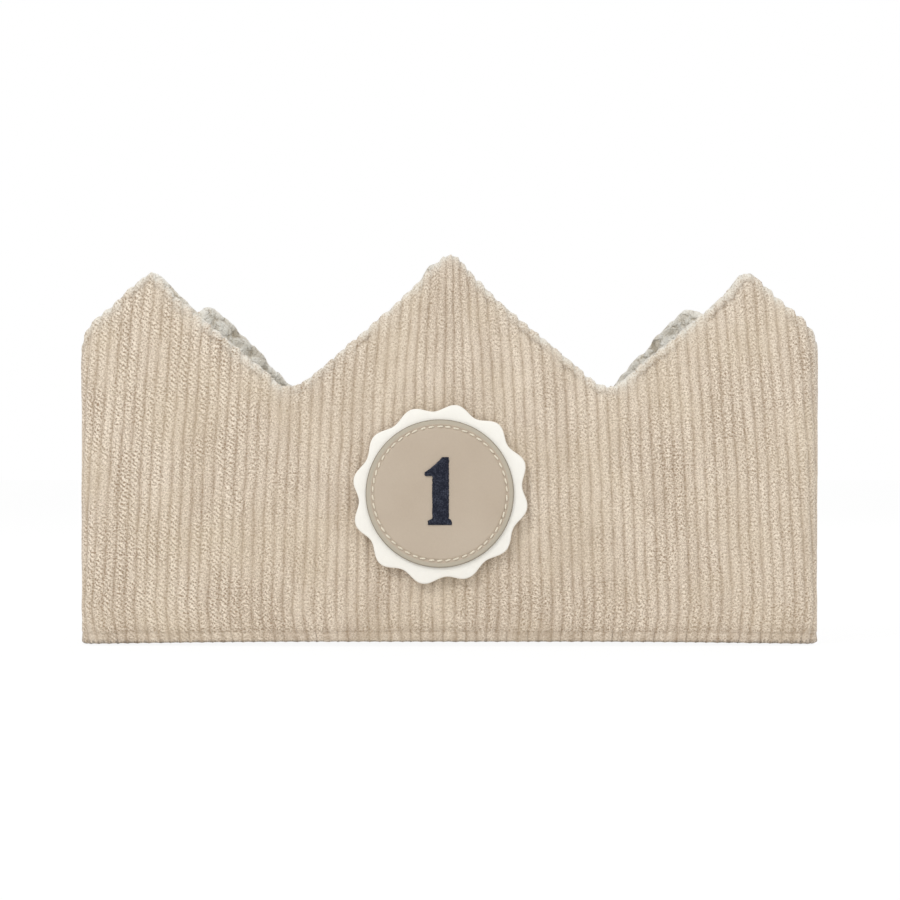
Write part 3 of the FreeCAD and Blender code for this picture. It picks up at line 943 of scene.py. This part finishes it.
def white_finish(name, shadow):
    """White to the camera and to reflections, but for a share of the shadow that falls on it, and plain
    pale cloth to the light that it throws back on the crown. The glow is a little over 1, to make up for
    the cloth's share."""
    f = Finish(name)
    through = f.node("ShaderNodeLightPath", output="Is Transmission Ray")
    white = f.seen().at_least(through) * (1 - shadow)
    cloth = f.node("ShaderNodeBsdfDiffuse", inputs={"Color": (0.92, 0.92, 0.92, 1.0)})
    glow = f.node("ShaderNodeEmission", inputs={"Color": WHITE, "Strength": 1.02})
    mixed = f.node("ShaderNodeMixShader", inputs={0: white, 1: cloth, 2: glow})
    f.node("ShaderNodeOutputMaterial", inputs={"Surface": mixed})
    return f.material


def floor_piece():
    """A plain floor just under the crown, wide enough for its edge to be out of sight from any side."""
    reach, drop = 6000.0, -0.05
    corners = np.array([(-1, -1), (1, -1), (1, 1), (-1, 1)]) * reach
    points = np.column_stack([corners, np.full(4, drop)])
    floor = mesh_from("floor", points, np.array([0, 1, 2, 3]))
    floor.data.materials.append(white_finish("floor_white", 0.1))


def world_light(strength):
    """Even light from all sides, seen by the camera as white. A Mix node's inputs 2 and 3 are its plain
    values at 0 and at 1."""
    world = bpy.data.worlds.new("studio")
    bpy.context.scene.world = world
    sky = Nodes(world)
    level = sky.node("ShaderNodeMix", {"data_type": "FLOAT"}, {0: sky.seen(), 2: strength, 3: 1.0})
    background = sky.node("ShaderNodeBackground", inputs={"Color": WHITE, "Strength": level})
    sky.node("ShaderNodeOutputWorld", inputs={"Surface": background})


def soft_lamp(name, place, size, power):
    """A round lamp at a place, turned to the crown."""
    light = bpy.data.lights.new(name, "AREA")
    light.shape = "DISK"
    light.size = size
    light.energy = power
    lamp = bpy.data.objects.new(name, light)
    lamp.location = place
    lamp.rotation_euler = (Vector(LAMP_AIM) - Vector(place)).to_track_quat("-Z", "Y").to_euler()
    bpy.context.collection.objects.link(lamp)


def camera_piece(aside, distance, height):
    """A level camera in front of the crown, at a distance from the wales' crests, with a long lens."""
    lens = bpy.data.cameras.new("camera")
    lens.sensor_width = 36.0
    lens.lens = 137.5
    lens.clip_end = 50.0
    camera = bpy.data.objects.new("camera", lens)
    camera.location = (aside, (FRONT_Y - WALE_HEIGHT) * MM - distance, height)
    camera.rotation_euler = (math.radians(90), 0.0, 0.0)
    bpy.context.collection.objects.link(camera)
    bpy.context.scene.camera = camera


floor_piece()
world_light(0.75)
soft_lamp("key_lamp", (-0.75, -1.1, 1.15), 0.6, 6.5)
soft_lamp("fill_lamp", (0.7, -1.15, 1.3), 0.8, 3.0)
soft_lamp("back_lamp", (0.5, 1.3, 1.2), 0.8, 4.5)
camera_piece(0.00016, 1.1, 0.0627)
bpy.context.scene.view_settings.view_transform = "Standard"
